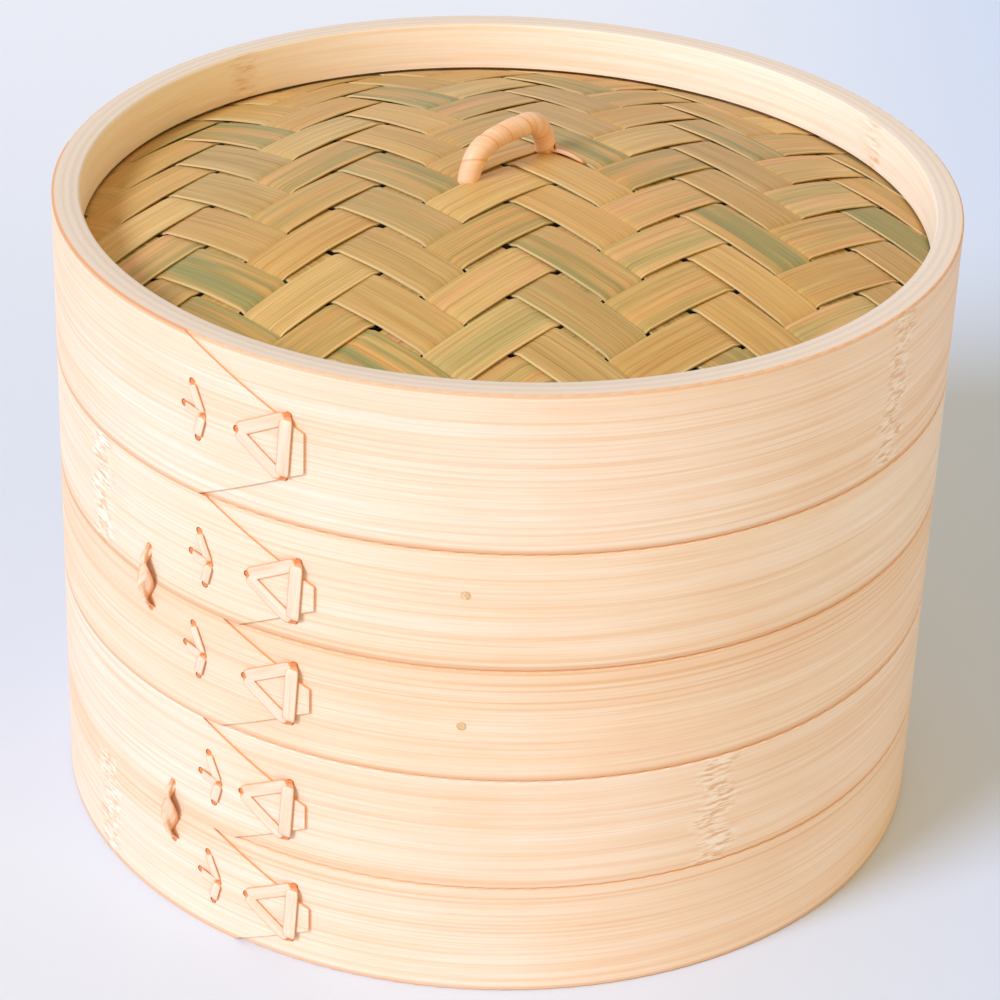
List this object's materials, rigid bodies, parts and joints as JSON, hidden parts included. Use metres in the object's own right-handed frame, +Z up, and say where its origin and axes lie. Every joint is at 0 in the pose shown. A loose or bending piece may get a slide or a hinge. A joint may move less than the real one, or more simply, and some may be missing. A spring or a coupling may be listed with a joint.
{
  "type": "bamboo steamer basket",
  "caption": "Round stacking bamboo steamer: slatted-floor tiers of bent hoops sewn with cane, and a lift-off domed lid of twill-woven strips with a bound cane loop.",
  "frame": {"origin": "centre of the lower tier's foot, on the surface it stands on", "axes": "+Z up the stack, -Y to the front, with the sewn laps a little to the left of it"},
  "size_m": [0.2541, 0.254, 0.2027],
  "materials": {
    "bent_bamboo_hoop": "planed bamboo, unvarnished",
    "bamboo_ring": "planed bamboo, unvarnished",
    "woven_bamboo": "split bamboo strip, satin",
    "bamboo_slat": "split bamboo, unvarnished",
    "bamboo_peg": "round bamboo, unvarnished",
    "cane_core": "round cane, satin",
    "split_cane": "split cane, satin"
  },
  "bodies": {
    "lower_tier": {"lower_floor_crossbars": "bamboo_slat", "lower_floor_slats": "bamboo_slat", "lower_foot_hoop": "bent_bamboo_hoop", "lower_foot_lashing": "split_cane", "lower_foot_stitch": "split_cane", "lower_ledge_ring": "bamboo_ring", "lower_liner": "bamboo_ring", "lower_pegs": "bamboo_peg", "lower_seam_ties": "split_cane", "lower_upper_hoop": "bent_bamboo_hoop", "lower_upper_lashing": "split_cane", "lower_upper_stitch": "split_cane"},
    "upper_tier": {"upper_floor_crossbars": "bamboo_slat", "upper_floor_slats": "bamboo_slat", "upper_foot_hoop": "bent_bamboo_hoop", "upper_foot_lashing": "split_cane", "upper_foot_stitch": "split_cane", "upper_ledge_ring": "bamboo_ring", "upper_liner": "bamboo_ring", "upper_pegs": "bamboo_peg", "upper_seam_ties": "split_cane", "upper_upper_hoop": "bent_bamboo_hoop", "upper_upper_lashing": "split_cane", "upper_upper_stitch": "split_cane"},
    "lid": {"lid_clamp_ring": "bamboo_ring", "lid_hoop": "bent_bamboo_hoop", "lid_lashing": "split_cane", "lid_loop_binding": "split_cane", "lid_loop_core": "cane_core", "lid_loop_splint": "bamboo_peg", "lid_rim_ring": "bamboo_ring", "lid_stitch": "split_cane", "lid_weave_warp": "woven_bamboo", "lid_weave_weft": "woven_bamboo"}
  },
  "joints": [
    {"name": "upper_tier_lift", "type": "slide", "parent": "lower_tier", "child": "upper_tier", "axis": [0, 0, 1], "range_m": [0, 0.12]},
    {"name": "lid_lift", "type": "slide", "parent": "upper_tier", "child": "lid", "axis": [0, 0, 1], "range_m": [0, 0.12]}
  ]
}
